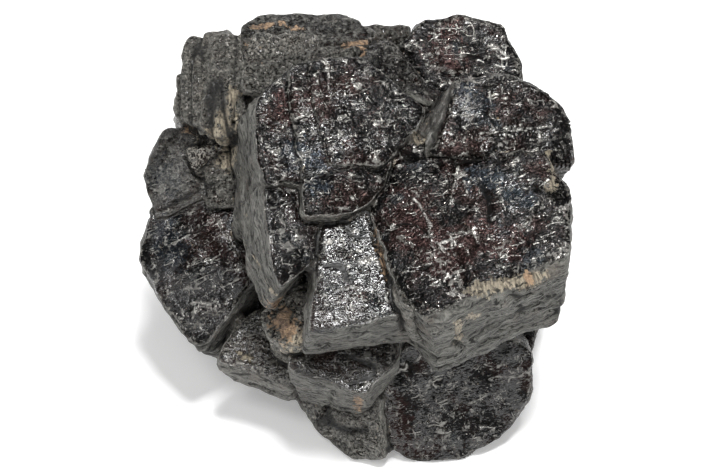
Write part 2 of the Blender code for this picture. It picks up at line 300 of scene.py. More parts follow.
def made_with(kind, name, settings):
    """The skin's mesh after one modifier."""
    step = skin.modifiers.new(name, kind)
    for setting, value in settings.items():
        setattr(step, setting, value)
    bpy.context.view_layer.update()
    worked = skin.evaluated_get(bpy.context.evaluated_depsgraph_get())
    made = bpy.data.meshes.new_from_object(worked)
    skin.modifiers.clear()
    skin.data = made
    return made


def points_of(mesh):
    """The mesh's points, in the mm of the crystal table."""
    flat_list = np.empty(len(mesh.vertices) * 3, np.float32)
    mesh.vertices.foreach_get("co", flat_list)
    return flat_list.reshape(-1, 3).astype(float) * 1000 + MIDDLE_MM


covered = made_with("REMESH", "small even facets",
                    {"mode": "VOXEL", "voxel_size": FACET_MM * 0.001})
spots = points_of(covered)
count = len(spots)
standing = spots[:, 2] < UNDERSIDE_MM
for _ in range(PULLS):
    found = measure(spots)
    pull = np.clip(found["near"], -MOST_PULL_MM, MOST_PULL_MM)[:, None] * found["slope"]
    pull[standing] = 0
    spots -= pull * PULL_SHARE
    spots[:, 2] = np.maximum(spots[:, 2], 0.0)
    spots[standing, 2] = 0.0
found = measure(spots)
turn_between = np.linalg.norm(found["far_slope"] - found["slope"], axis=1)
seam = (found["far"] - found["near"]) / np.maximum(turn_between, LEAST_TURN)
seam = np.clip(seam, 0, SEAM_REACH_MM)


# The wear of the real surface: slow swells, hammered dents, low growth ledges that follow
# each crystal's own sides, layered walls, furrows where crystals meet, and chipped edges.
# Each is a height in mm, added up in move and then given to the skin's points.
def dents(spots, seed):
    """Round hollows, 1 at the bottom of each and 0 between them, about one to each unit."""
    cells = np.floor(spots).astype(np.int64)
    nearest = np.full(len(spots), 9.0)
    for step in itertools.product((-1, 0, 1), repeat=3):
        cell = cells + np.array(step)
        middle = cell + 0.5 + 0.42 * np.column_stack([scramble(cell, seed + k) for k in (1, 2, 3)])
        nearest = np.minimum(nearest, np.linalg.norm(spots - middle, axis=1))
    return np.clip(1 - nearest / 0.75, 0, 1) ** 1.5


LEDGE_MM = (5.2, 3.4, 4.1)
LEDGE_DRIFT_MM = 6.0


def ledges(places, seed):
    """Low flat plates with sides along the crystal's own, between -1 and 1."""
    drift = np.column_stack([swell(places / LEDGE_DRIFT_MM, seed + step) for step in (0, 5, 9)])
    cells = places / LEDGE_MM + drift * 0.5
    base = np.floor(cells)
    part = cells - base
    rim = np.clip(np.minimum(part, 1 - part) * 9, 0, 1).prod(axis=1)
    return scramble(base.astype(np.int64), seed + 3) * rim


def by_crystal(table, usual):
    """A value for each point from a table of crystals, with the usual one for the rest."""
    return np.array([table.get(name, usual) for name in NAMES])[found["own"]]


own_place = np.zeros_like(spots)
heading = np.zeros(count)
for index, crystal in enumerate(crystals):
    mine = found["own"] == index
    own_place[mine] = crystal.own(spots[mine]) + 60.0 * index
    own_slope = found["slope"][mine] @ crystal.turn
    heading[mine] = np.arctan2(own_slope[:, 1], own_slope[:, 0])
# On the far side of the cluster, about seven in ten of the walls are glossy crystal faces.
EIGHTH_TURN = math.pi / 4
GLOSSY_SIDE_WALL = 0.2
sides = np.column_stack([found["own"], np.round(heading / EIGHTH_TURN) % 8, np.zeros(count)])
back_way, up_way = found["slope"][:, 1], found["slope"][:, 2]
far_side = (found["own"] < NAMES.index("table")) | (back_way > 0.25)
glossy_side = far_side & (scramble(sides.astype(np.int64), 101) > -0.4)
wall = np.where(glossy_side, GLOSSY_SIDE_WALL, 1.0) * found["wall"]
flat = 1 - wall
# How rough and earthy each crystal is, and the walls that look up at the back.
rough = by_crystal({"ribbed": 1.0, "matrix": 1.0, "wedge": 0.9, "root": 0.8, "crest": 0.7,
                    "notch": 0.7, "foot_side": 0.6, "crest_front": 0.5, "broad_corner": 0.5,
                    "saddle": 0.3, "upper_left": 0.2}, 0.0)
rough = np.maximum(rough, wall * (back_way > 0.15) * (up_way > 0.35) * 0.8)
# How strongly each crystal's face is hammered, and how much of its polish it has kept.
hammered = by_crystal({"mirror": 1.0, "foot": 0.95, "chip": 0.9, "toe": 0.9, "lower_left": 0.7,
                       "crest": 0.7, "shoulder": 0.55, "table_lip": 0.5, "back_right": 0.5,
                       "broad": 0.5}, 0.6)
polish = by_crystal({"mirror": 1.0, "toe": 1.0, "chip": 0.9, "upper_left": 0.60, "ribbed": 0.6,
                     "crest_front": 0.6, "lower_left": 0.52, "foot_side": 0.5,
                     "lower_table": 0.48, "foot": 0.47, "table": 0.41, "shoulder": 0.41,
                     "table_lip": 0.36, "back_right": 0.33, "broad": 0.31}, 0.42)
# Swells and grain, stronger on rough crystals, then dents and ledges. Each line has the depth,
# and the width of the swell as what the place is divided by.
DENT_WIDTH_MM = 2.3
move = 0.15 * swell(spots / 7.0, 11)
move += (0.07 + 0.42 * rough) * swell(spots / 2.6, 23) + 0.35 * rough * swell(spots / 5.0, 27)
move += (0.04 + 0.20 * rough + 0.10 * wall) * swell(spots / 1.2, 29)
dent_depth = 0.24 * flat * hammered + 0.08
dented = dent_depth * dents(own_place / DENT_WIDTH_MM, 31)
move -= dented * (0.5 + 0.5 * swell(spots / 9.0, 41))
move += 0.15 * ledges(own_place, 51) * (0.5 + 0.5 * flat)
# The walls are layered along the face: length, width and thickness of the layers.
COARSE_LAYER_MM, FINE_LAYER_MM = (6.0, 6.0, 1.5), (3.0, 3.0, 0.9)
layers = 0.38 * swell(own_place / COARSE_LAYER_MM, 81)
layers = layers + 0.24 * swell(own_place / FINE_LAYER_MM, 83)
move += wall * layers


def level_line(size_mm, seed, steep):
    """About how far each point is from the level lines of a cloud of this size, in mm."""
    return np.abs(swell(own_place / size_mm, seed)) * steep


# Open cracks between some layers, thin ones across some faces, and columns on one crystal:
# each one's line, then how deep and how wide it is cut. A line that is put 4 mm or more away
# isn't there.
layer_line = level_line((10.0, 10.0, 2.3), 87, 2.6) + 4 * (swell(spots / 6.0, 88) < 0.1)
layer_line = layer_line + 5 * (1 - wall)
face_line = level_line((6.5, 5.0, 9.0), 89, 4.0) + 5 * (swell(spots / 5.0, 90) < 0.25)
face_line = face_line + 5 * wall
column_line = level_line((2.4, 13.0, 13.0), 85, 3.0) + 9 * (found["own"] != NAMES.index("ribbed"))
LAYER_CUT_MM, FACE_CUT_MM, COLUMN_CUT_MM = (0.42, 0.34), (0.22, 0.32), (0.95, 0.42)


def cut(line, deep_wide):
    """The depth of a furrow along a line, for its greatest depth and half width."""
    return deep_wide[0] * np.exp(-(line / deep_wide[1]) ** 2)


move -= cut(layer_line, LAYER_CUT_MM) + cut(face_line, FACE_CUT_MM)
move -= cut(column_line, COLUMN_CUT_MM)
# Where crystals meet there is a furrow. Those that grew as one show only this share of it.
FURROW_MM = (0.9, 0.34)
GROWN_AS_ONE = {("broad", "shoulder"): 0.3, ("broad", "broad_corner"): 0.3,
                ("crest", "crest_front"): 0.3, ("crest_front", "wedge"): 0.4,
                ("table", "table_lip"): 0.6, ("table", "lower_table"): 0.5,
                ("table_lip", "lower_table"): 0.5, ("foot", "foot_side"): 0.5}
open_seam = np.ones(count)
for pair, share in GROWN_AS_ONE.items():
    numbers = [NAMES.index(name) for name in pair]
    open_seam[np.isin(found["own"], numbers) & np.isin(found["other"], numbers)] = share
open_seam *= 0.72 + 0.28 * swell(spots / 5.0, 91)
move -= FURROW_MM[0] * open_seam * np.exp(-(seam / FURROW_MM[1]) ** 2)
CHIP_DEPTH_MM, CHIP_WIDTH_MM = 1.3, 2.4
chipped = np.clip(swell(spots / CHIP_WIDTH_MM, 61) - 0.05, 0, 1)
move -= CHIP_DEPTH_MM * chipped * found["edge"]


# The cracks and growth lines that can be told apart in the real specimen, each along its own
# broken line on the surface, in mm. FAR_MM stands for a line that is too far away to matter.
FAR_MM = 9.0
AROUND_LINE_MM = 5


def line_away(line):
    """How far each spot is from a broken line, up to FAR_MM."""
    ends = np.array(line)
    away = np.full(count, FAR_MM)
    low, high = ends.min(axis=0) - AROUND_LINE_MM, ends.max(axis=0) + AROUND_LINE_MM
    close = np.flatnonzero(((spots > low) & (spots < high)).all(axis=1))
    for start, stop in zip(ends[:-1], ends[1:]):
        along = stop - start
        share = np.clip((spots[close] - start) @ along / (along @ along), 0, 1)
        aside = np.linalg.norm(spots[close] - start - share[:, None] * along, axis=1)
        away[close] = np.minimum(away[close], aside)
    return away


# Open cracks and steps: the line each follows, its half width and depth.
CRACKS = (
    (((5.2, -10.9, 59.9), (1.6, -11.7, 60.0), (-1.6, -12.8, 60.2), (-4.4, -13.9, 60.4)), 0.30, 0.6),
    (((-4.4, -13.9, 60.4), (-6.7, -14.7, 60.5), (-10.1, -15.5, 60.5),
      (-16.8, -16.2, 60.9)), 0.45, 1.2),
    (((-12.4, -16.0, 58.5), (-16.0, -18.6, 58.7), (-18.5, -15.4, 55.1),
      (-20.9, -11.3, 51.1)), 0.30, 0.5),
    (((-12.4, 2.8, 71.0), (-11.9, -1.0, 68.7), (-11.1, -5.4, 66.6)), 0.30, 0.8),
    (((-8.9, 12.4, 67.6), (-8.0, 3.6, 71.2), (-7.4, 1.0, 70.0)), 0.30, 0.7),
    (((-10.9, 5.1, 71.9), (-10.2, 0.5, 69.9), (-7.6, 1.1, 70.0)), 0.28, 0.5),
    (((-19.6, -5.4, 62.5), (-17.3, -7.1, 67.0), (-13.9, -5.3, 67.3),
      (-10.9, -5.2, 66.9)), 0.40, 0.6),
    (((-15.3, -16.5, 60.9), (-14.6, -18.2, 58.4)), 0.26, 0.4),
    (((-12.0, -15.2, 59.7), (-11.4, -16.8, 57.4)), 0.26, 0.4),
    (((7.8, -28.9, 49.6), (13.3, -29.2, 51.6), (18.0, -28.1, 52.4)), 0.28, 0.5),
    (((-41.8, 3.0, 35.9), (-38.1, 2.2, 39.0), (-33.0, 3.4, 41.5), (-26.6, 3.8, 44.8)), 0.40, 0.9),
    (((-28.2, 2.9, 43.5), (-27.4, 1.0, 37.9), (-29.3, -2.4, 35.9)), 0.35, 0.7),
    (((-32.0, 6.3, 44.0), (-30.4, 4.8, 42.7)), 0.35, 0.6),
    (((-4.0, -32.7, 22.5), (-4.7, -27.0, 11.9), (-6.4, -25.5, 8.8)), 0.40, 0.9),
    (((7.2, -6.4, 62.8), (9.1, -7.0, 61.3), (11.2, -8.0, 60.4)), 0.65, 1.4),
    (((8.7, 29.0, 60.2), (10.0, 22.2, 63.3), (11.4, 20.8, 63.1)), 0.50, 1.0),
    (((18.5, -36.7, 39.2), (20.5, -35.1, 36.8)), 0.70, 1.5),
    (((34.6, -16.0, 59.2), (39.2, -17.7, 58.7)), 0.45, 0.9),
    (((-5.7, -26.2, 49.9), (-4.4, -33.1, 46.6), (-3.6, -36.6, 41.7)), 0.26, 0.35),
    (((15.2, -25.3, 17.1), (16.6, -27.4, 10.6), (15.4, -30.3, 4.9)), 0.28, 0.5),
    (((-18.2, 17.0, 64.7), (-12.5, 14.5, 67.6), (-6.2, 13.7, 68.7)), 0.45, 0.9),
    (((14.6, -7.7, 61.3), (19.3, -9.9, 60.5), (25.5, -9.5, 61.5)), 0.30, 0.5),
)
# Thin raised growth lines: the line each follows, its half width and height.
RAISED = (
    (((19.9, -10.0, 60.5), (19.2, -13.1, 59.4), (18.2, -17.1, 57.4)), 0.22, 0.30),
    (((9.4, -14.7, 57.8), (12.2, -17.1, 56.7), (14.4, -21.5, 55.0),
      (16.2, -26.0, 52.8)), 0.20, 0.16),
    (((27.4, -16.0, 59.0), (28.6, -20.2, 57.1)), 0.22, 0.28),
    (((21.8, -22.6, 56.0), (23.2, -25.6, 54.2)), 0.20, 0.24),
    (((14.0, -22.0, 54.7), (15.5, -28.7, 52.2)), 0.20, 0.24),
    (((24.1, -5.6, 64.4), (30.9, -4.1, 63.9), (38.3, -2.5, 63.8)), 0.22, 0.30),
    (((32.8, -5.4, 62.5), (39.6, -4.7, 62.1)), 0.22, 0.28),
    (((18.9, -1.1, 66.8), (20.2, -2.8, 65.8)), 0.22, 0.28),
    (((25.6, -6.3, 63.7), (27.9, -7.3, 62.0)), 0.22, 0.28),
    (((15.8, 21.8, 64.1), (23.4, 22.2, 64.3)), 0.20, 0.25),
    (((15.0, 20.9, 63.3), (22.6, 21.3, 63.5)), 0.20, 0.25),
    (((12.9, 27.4, 65.7), (10.0, 29.4, 60.2)), 0.25, 0.30),
    (((-9.5, -17.7, 58.7), (-8.2, -20.0, 54.5)), 0.25, 0.30),
    (((-6.7, -17.4, 58.6), (-5.2, -19.7, 55.9)), 0.25, 0.30),
    (((-23.4, -23.0, 19.8), (-18.2, -24.4, 19.6), (-10.9, -29.4, 20.5)), 0.25, 0.4),
)
RAGGED_MM = 0.9
crack_away = np.minimum(np.minimum(layer_line, face_line), column_line)
for line, width, depth in CRACKS:
    away = line_away(line) + 0.18 * swell(spots / RAGGED_MM, 95)
    move -= depth * np.exp(-(away / width) ** 2)
    crack_away = np.minimum(crack_away, np.abs(away) * 0.3 / width)
raised_away = np.full(count, FAR_MM)
for line, width, height in RAISED:
    away = line_away(line) + 0.15 * swell(spots / RAGGED_MM, 97)
    move += height * np.exp(-(away / width) ** 2)
    raised_away = np.minimum(raised_away, np.abs(away))

# The skin is worn as told above, and kept on the floor and inside the solid's box.
move[standing] = 0
spots += move[:, None] * found["slope"]
spots[:, 2] = np.maximum(spots[:, 2], 0.0)
low_mm = np.array(cad_low) * 1000 + MIDDLE_MM
high_mm = np.array(cad_high) * 1000 + MIDDLE_MM
worn_spots = np.clip(spots, low_mm, high_mm)
covered.vertices.foreach_set("co", ((worn_spots - MIDDLE_MM) * 0.001).astype(np.float32).ravel())


# The stains and patches on the real surface: cream and ochre earth in the gaps, blue-grey
# and red-brown tints on the faces, and places where the polish is whole or gone. Each is laid
# along a short line, and every share that the stone's look needs is kept on the points.
def keep_on_points(name, values):
    """A value for each point, which the stone's look reads by this name."""
    kept = covered.attributes.new(name, "FLOAT", "POINT")
    kept.data.foreach_set("value", np.asarray(values, np.float32))


def painted(spans):
    """1 along the middle of each stain, and 0 past twice its half width."""
    share = np.zeros(count)
    for radius, line in spans:
        share = np.maximum(share, np.clip(1 - line_away(line) / (2 * radius), 0, 1))
    return share


# Half width of each stain in mm, and the line that it follows.
CREAM = (
    (2.3, ((-25.3, 7.8, 56.3), (-24.6, 7.0, 52.3), (-25.1, 7.5, 47.2))),
    (1.6, ((-27.8, 6.3, 55.4), (-27.3, 7.9, 51.1))),
    (0.5, ((-23.0, 0.6, 50.4), (-22.4, -2.5, 47.4), (-21.9, -6.0, 45.9))),
    (0.45, ((-21.9, -6.0, 45.9), (-20.5, -13.6, 50.3))),
    (0.45, ((-21.7, -6.9, 41.0), (-20.5, -17.0, 45.6), (-18.6, -22.1, 46.9))),
    (0.45, ((-18.6, -22.1, 46.9), (-17.3, -25.0, 46.4), (-16.2, -27.0, 44.4),
            (-14.6, -29.8, 45.0))),
    (1.3, ((22.0, -34.0, 50.3), (28.0, -32.9, 50.5), (32.7, -31.7, 50.7), (34.8, -30.8, 50.9))),
    (0.7, ((19.1, -37.7, 45.4), (19.6, -35.8, 38.6))),
    (0.9, ((21.6, -37.0, 46.0), (23.1, -36.3, 45.6))),
    (0.9, ((11.4, -4.1, 62.4), (13.0, -4.7, 61.7))),
    (0.7, ((37.2, -7.0, 60.8), (37.6, -12.0, 60.5), (37.0, -16.2, 59.4))),
    (1.2, ((-23.9, 11.1, 61.2), (-24.1, 8.3, 56.9))),
    (0.7, ((-23.0, -21.3, 20.9), (-20.6, -22.6, 20.5))),
    (1.8, ((-12.0, -27.0, 38.5), (-11.0, -28.0, 33.0), (-13.0, -27.5, 29.5))),
)
ORANGE = (
    (2.0, ((-14.7, -25.5, 39.3), (-14.1, -24.1, 33.6), (-13.1, -26.8, 32.6))),
    (0.7, ((32.0, -31.2, 51.5), (32.5, -31.8, 50.6))),
    (0.9, ((4.3, -20.6, 52.5), (5.4, -24.1, 50.5), (6.5, -27.7, 48.0))),
    (0.6, ((-20.4, 24.5, 67.5), (-14.0, 25.4, 67.4))),
    (0.6, ((-12.5, 23.8, 67.4), (-9.9, 23.6, 67.2))),
    (0.8, ((0.7, -33.9, 21.2), (0.9, -29.0, 12.8))),
)
BLUE_GREY = (
    (3.0, ((-10.9, -10.9, 63.7), (-7.5, -12.1, 62.8))),
    (1.5, ((-8.4, -16.3, 60.7), (-5.9, -15.6, 59.6))),
    (2.6, ((23.5, -13.5, 60.3), (26.2, -14.2, 59.9))),
    (2.0, ((29.5, -16.6, 58.5), (32.4, -17.8, 58.2))),
    (3.0, ((-39.3, 8.5, 43.3), (-37.2, 5.6, 41.7))),
    (1.2, ((-24.3, -0.9, 37.5), (-22.9, -6.5, 40.8))),
    (2.5, ((22.3, 0.7, 68.6), (24.2, -0.6, 67.1))),
    (3.0, ((-38.1, -1.2, 35.6), (-36.0, -5.3, 32.5))),
)
RED_BROWN = (
    (4.0, ((9.7, -19.5, 55.8), (14.3, -24.3, 53.7), (18.0, -28.7, 52.2))),
    (2.5, ((7.9, -15.5, 57.3), (12.6, -16.6, 56.9))),
    (3.5, ((23.6, -24.6, 55.3), (29.1, -25.7, 55.0))),
    (2.0, ((-1.6, -9.2, 63.1), (-0.3, -10.5, 61.7))),
    (1.5, ((-13.8, -0.6, 69.6), (-13.2, -4.7, 67.3))),
    (3.0, ((18.4, 23.1, 65.1), (19.8, 19.9, 62.5))),
    (3.0, ((-25.9, -1.4, 37.1), (-27.8, -4.8, 34.8))),
    (1.2, ((-17.3, -22.8, 51.1), (-16.5, -26.4, 48.0))),
    (3.0, ((7.7, -27.4, 10.5), (9.8, -30.6, 5.1))),
)
# Where the polish is whole, and where it has gone.
POLISHED = (
    (3.0, ((1.0, -19.6, 52.4), (0.0, -22.0, 52.0))),
    (3.2, ((-32.8, -11.2, 28.3), (-27.7, -13.7, 28.0))),
    (2.2, ((-14.0, -11.5, 63.2), (-9.0, -13.0, 62.6), (-4.5, -11.5, 62.4))),
    (2.2, ((33.5, -12.5, 59.8), (33.0, -17.0, 58.2), (31.0, -21.0, 56.6))),
)
WORN_DULL = (
    (1.6, ((-2.4, -23.8, 51.3), (-0.3, -25.4, 50.9))),
    (1.2, ((1.8, -31.4, 46.6), (4.6, -32.4, 45.6))),
    (2.6, ((-35.9, -3.0, 34.0), (-31.8, -3.2, 35.4))),
    (2.8, ((12.0, -19.5, 55.8), (14.5, -24.3, 53.7), (19.0, -29.0, 52.2))),
    (2.0, ((-13.6, 0.5, 70.0), (-12.8, -4.7, 67.3))),
)
# Where one wall has a comb of thin ribs.
COMBED = (
    (2.2, ((40.1, -5.5, 61.1), (40.3, -7.9, 59.6), (40.2, -12.5, 60.0), (39.2, -17.2, 58.9))),
)
keep_on_points("seam_mm", seam / np.maximum(open_seam, 0.2))
keep_on_points("crack_mm", np.clip(crack_away, 0, 6))
keep_on_points("raised_mm", np.clip(raised_away, 0, 6))
keep_on_points("wall", wall * by_crystal({"shoulder": 0.6, "back_right": 0.8}, 1.0))
keep_on_points("edge", found["edge"])
keep_on_points("rough", rough)
whole, gone = painted(POLISHED), painted(WORN_DULL)
mirrored = polish > 0.9
keep_on_points("hammered", hammered * (1 - 0.6 * whole * mirrored))
keep_on_points("polish", np.clip(polish + 0.12 * whole - (0.15 + 0.75 * mirrored) * gone, 0, 1))
keep_on_points("pale", by_crystal({"root": 1.0, "rear_left": 0.8, "crest_front": 0.8,
                                   "ribbed": 0.6, "foot_side": 0.55, "wedge": 0.45,
                                   "matrix": 0.4, "toe": 0.35, "broad_corner": 0.3,
                                   "notch": 0.2, "upper_left": 0.15, "chip": 0.1}, 0.0))
keep_on_points("cream", painted(CREAM))
# Ochre earth also lies in some of the seams on the far side, behind this line in mm.
FAR_SIDE_MM, EARTH_WIDTH_MM, EARTH_PATCH_MM = 8, 1.3, 6.5
in_seams = np.clip(EARTH_WIDTH_MM - seam, 0, 1)
in_patches = np.clip(swell(spots / EARTH_PATCH_MM, 103) * 3 - 0.6, 0, 1)
earth = in_seams * in_patches * (spots[:, 1] > FAR_SIDE_MM)
keep_on_points("orange", np.maximum(painted(ORANGE), 0.8 * earth))
keep_on_points("blue_grey", painted(BLUE_GREY))
keep_on_points("red_brown", painted(RED_BROWN))
keep_on_points("combed", painted(COMBED))
covered.calc_loop_triangles()
keep_share = MOST_TRIANGLES / len(covered.loop_triangles)
covered = made_with("DECIMATE", "fewer facets where it is flat",
                    {"ratio": min(1.0, keep_share), "use_collapse_triangulate": True})

# Each facet's place in its own crystal, in mm: along and across the face, then height. The
# grain of the real stone runs with each crystal, so the stone's look is laid on by this. The
# two gaps keep the grain of one crystal, or of one side, from going on into the next.
CRYSTAL_GAP_MM, SIDE_GAP_MM = 37.0, 11.0
face_count = len(covered.polygons)
middles = np.empty(face_count * 3, np.float32)
covered.polygons.foreach_get("center", middles)
middles = middles.reshape(-1, 3).astype(float) * 1000 + MIDDLE_MM
totals = np.empty(face_count, np.int32)
covered.polygons.foreach_get("loop_total", totals)
corners = np.empty(len(covered.loops), np.int32)
covered.loops.foreach_get("vertex_index", corners)
corner_spots = points_of(covered)[corners]
of_face = np.repeat(np.arange(face_count), totals)
face_own = measure(middles)["own"]
lattice = np.zeros((len(corners), 3), np.float32)
for index, crystal in enumerate(crystals):
    faces = np.flatnonzero(face_own == index)
    if not len(faces):
        continue
    facings, reaches = crystal.blocks[0]
    sides = crystal.own(middles[faces]) @ facings.T - reaches
    side_of = np.full(face_count, -1)
    side_of[faces] = sides.argmax(axis=1)
    for side, facing in enumerate(facings):
        picked = np.flatnonzero(side_of[of_face] == side)
        if not len(picked):
            continue
        place = crystal.own(corner_spots[picked])
        if side > 1:
            along = np.array((-facing[1], facing[0], 0.0))
            along /= np.linalg.norm(along)
            place = np.column_stack([place @ along, place[:, 2], place @ facing])
        lattice[picked] = place + CRYSTAL_GAP_MM * index + SIDE_GAP_MM * side
held = covered.attributes.new("lattice_mm", "FLOAT_VECTOR", "CORNER")
held.data.foreach_set("vector", lattice.ravel())
covered.polygons.foreach_set("use_smooth", np.ones(face_count, bool))


# Limonite: near-black iron oxide with a submetallic gloss where the faces are worn, dull
# and fibrous on the walls, brown-red in places, with earthy ochre in the gaps. It is all one
# stone, so one material covers the whole skin.
stone = bpy.data.materials.new("limonite")
stone.use_nodes = True
tree = stone.node_tree
nodes, links = tree.nodes, tree.links
gloss = nodes["Principled BSDF"]


def mark(name, vector=False):
    """What was kept on the points or facets by this name."""
    node = nodes.new("ShaderNodeAttribute")
    node.attribute_type = "GEOMETRY"
    node.attribute_name = name
    return node.outputs["Vector" if vector else "Fac"]


def feed(socket, value):
    """Give a socket a plain value or what comes out of another node."""
    if isinstance(value, bpy.types.NodeSocket):
        links.new(value, socket)
    else:
        socket.default_value = value


def worked_out(kind, first, second=0.0, third=None):
    """One sum, of values or of what comes out of other nodes."""
    node = nodes.new("ShaderNodeMath")
    node.operation = kind
    feed(node.inputs[0], first)
    feed(node.inputs[1], second)
    if third is not None:
        feed(node.inputs[2], third)
    return node.outputs[0]


def plus(first, second):
    return worked_out("ADD", first, second)


def minus(first, second):
    return worked_out("SUBTRACT", first, second)


def times(first, second):
    return worked_out("MULTIPLY", first, second)


def larger(first, second):
    return worked_out("MAXIMUM", first, second)


def scaled(vector, by):
    """The place pressed or stretched: a small number makes the pattern long that way."""
    node = nodes.new("ShaderNodeVectorMath")
    node.operation = "MULTIPLY"
    feed(node.inputs[0], vector)
    node.inputs[1].default_value = by
    return node.outputs[0]


def cloud(vector, scale, detail=3.0, roughness=0.55):
    """Soft clouds around 0.5, with this many of them to a mm."""
    node = nodes.new("ShaderNodeTexNoise")
    feed(node.inputs["Vector"], vector)
    node.inputs["Scale"].default_value = scale
    node.inputs["Detail"].default_value = detail
    node.inputs["Roughness"].default_value = roughness
    return node.outputs["Fac"]


def cells(vector, scale, feature="F1"):
    """How far it is to the middle of the nearest cell, or to its edge."""
    node = nodes.new("ShaderNodeTexVoronoi")
    node.feature = feature
    feed(node.inputs["Vector"], vector)
    node.inputs["Scale"].default_value = scale
    return node.outputs["Distance"]


def ramp(value, low, high, start=0.0, end=1.0):
    """A smooth change from start to end while the value goes from low to high."""
    node = nodes.new("ShaderNodeMapRange")
    node.interpolation_type = "SMOOTHSTEP"
    feed(node.inputs["Value"], value)
    span = {"From Min": low, "From Max": high, "To Min": start, "To Max": end}
    for name, number in span.items():
        node.inputs[name].default_value = number
    return node.outputs["Result"]


def blend(share, first, second):
    """The first colour, changed to the second by this share."""
    node = nodes.new("ShaderNodeMix")
    node.data_type = "RGBA"
    feed(node.inputs["Factor"], share)
    feed(node.inputs["A"], first)
    feed(node.inputs["B"], second)
    return node.outputs["Result"]


lattice_place = mark("lattice_mm", vector=True)
seam_place, crack_place, raised_place = mark("seam_mm"), mark("crack_mm"), mark("raised_mm")
wall_share, edge_share, rough_share = mark("wall"), mark("edge"), mark("rough")
hammered_share, polish_share = mark("hammered"), mark("polish")


def drifting(vector, scale, far):
    """The same place, carried aside by slow clouds."""
    noise = nodes.new("ShaderNodeTexNoise")
    noise.inputs["Scale"].default_value = scale
    noise.inputs["Detail"].default_value = 2
    links.new(vector, noise.inputs["Vector"])
    carried = nodes.new("ShaderNodeVectorMath")
    carried.operation = "MULTIPLY_ADD"
    links.new(noise.outputs["Color"], carried.inputs[0])
    carried.inputs[1].default_value = (far, far, far)
    links.new(vector, carried.inputs[2])
    return carried.outputs[0]


def ridges_along(vector, stretch, scale, low, thin):
    """Thin broken ridges, mostly along one side of the crystal."""
    lines = cells(scaled(vector, stretch), scale, "DISTANCE_TO_EDGE")
    return times(ramp(lines, thin, 0.0), ramp(cloud(vector, 0.45, 3), low, low + 0.1))


def crests(vector, scale, detail=2.0):
    """A net of sharp little crests."""
    node = nodes.new("ShaderNodeTexNoise")
    node.noise_type = "RIDGED_MULTIFRACTAL"
    feed(node.inputs["Vector"], vector)
    node.inputs["Scale"].default_value = scale
    node.inputs["Detail"].default_value = detail
    node.inputs["Roughness"].default_value = 0.5
    node.inputs["Offset"].default_value = 0.9
    node.inputs["Gain"].default_value = 1.2
    return node.outputs["Fac"]


def stained(name, ragged, scale):
    """Where a stain lies, with a ragged edge."""
    torn = times(minus(cloud(lattice_place, scale, 5, 0.7), 0.5), ragged * 2)
    return ramp(plus(mark(name), torn), 0.42, 0.62)


def strokes(vector, stretch, scale, wide, low):
    """Fine broken strokes that follow the level lines of a cloud."""
    level = worked_out("ABSOLUTE", minus(cloud(scaled(vector, stretch), scale, 2, 0.5), 0.5))
    return times(ramp(level, wide, wide * 0.35), ramp(cloud(vector, 0.7, 3), low, low + 0.08))


bent = drifting(lattice_place, 0.4, 1.5)
bumpy = drifting(lattice_place, 1.1, 0.7)

# Relief in mm: hammered hollows, box-work ridges along the crystal's sides, pits and grain.
hollows = ramp(cells(bent, 0.5, "SMOOTH_F1"), 0.0, 0.8)
small = crests(scaled(bent, (0.55, 1.0, 1.0)), 0.9)
fine = crests(scaled(bumpy, (0.7, 1.3, 1.0)), 1.8, 3.0)
grain = cloud(lattice_place, 3.4, 2, 0.6)
ridges = larger(ridges_along(bent, (0.14, 1.0, 1.0), 0.55, 0.52, 0.09),
                ridges_along(bent, (1.0, 0.14, 1.0), 0.36, 0.56, 0.07))
raised = times(ramp(raised_place, 0.40, 0.14),
               ramp(cloud(lattice_place, 0.7, 3), 0.44, 0.52, 0.05, 0.7))
ridges = larger(ridges, raised)
# Tiny pale specks of painted glint.
glint_specks = times(ramp(cells(bumpy, 1.25), 0.18, 0.08),
               ramp(cloud(lattice_place, 0.35, 3), 0.46, 0.60))
# Painted shade in small pits: dark spots laid into the colour with the cracks.
pit_shade = times(ramp(cells(scaled(bent, (0.7, 1.3, 1.0)), 0.85), 0.26, 0.12),
              ramp(cloud(lattice_place, 0.4, 3), 0.46, 0.56))
wisps = larger(strokes(bent, (0.4, 1.5, 1.0), 0.6, 0.034, 0.54),
               strokes(bumpy, (1.4, 0.4, 1.0), 0.5, 0.030, 0.56))
pits = times(ramp(cells(bumpy, 0.8), 0.34, 0.12), ramp(cloud(lattice_place, 0.3, 2), 0.48, 0.58))
HOLLOW_MM, SMALL_MM, FINE_MM, GRAIN_MM, RIDGE_MM, PIT_MM = 0.12, 0.085, 0.055, 0.022, 0.06, 0.15
relief = times(hollows, HOLLOW_MM)
relief = plus(relief, times(times(small, SMALL_MM), polish_share))
relief = times(relief, hammered_share)
relief = plus(relief, times(fine, worked_out("MULTIPLY_ADD", polish_share, -0.02, FINE_MM)))
relief = plus(relief, times(grain, GRAIN_MM))
relief = plus(relief, times(larger(ridges, wisps), RIDGE_MM))
relief = minus(relief, times(pits, PIT_MM))

# The walls: dull and fibrous, with the fibres along the wall.
fibres = cloud(scaled(bent, (0.35, 2.2, 1.0)), 1.0, 5, 0.7)
matte = ramp(wall_share, 0.4, 0.85)
patchy = ramp(cloud(lattice_place, 1.1, 5, 0.7), 0.42, 0.58)
matte = larger(matte, times(rough_share, patchy))
cream_share, orange_share = stained("cream", 1.3, 0.9), stained("orange", 1.2, 0.9)
earthy = larger(cream_share, orange_share)
matte = larger(matte, earthy)
# Dark cracks along seams, lines and wall splits, with painted shade in small pits.
cracks_and_pit_shade = larger(ramp(seam_place, 0.30, 0.08), ramp(crack_place, 0.36, 0.08))
splits = times(strokes(bent, (0.22, 1.7, 1.0), 0.55, 0.040, 0.44), ramp(wall_share, 0.4, 0.8))
cracks_and_pit_shade = larger(cracks_and_pit_shade, larger(splits, times(pit_shade, 0.8)))
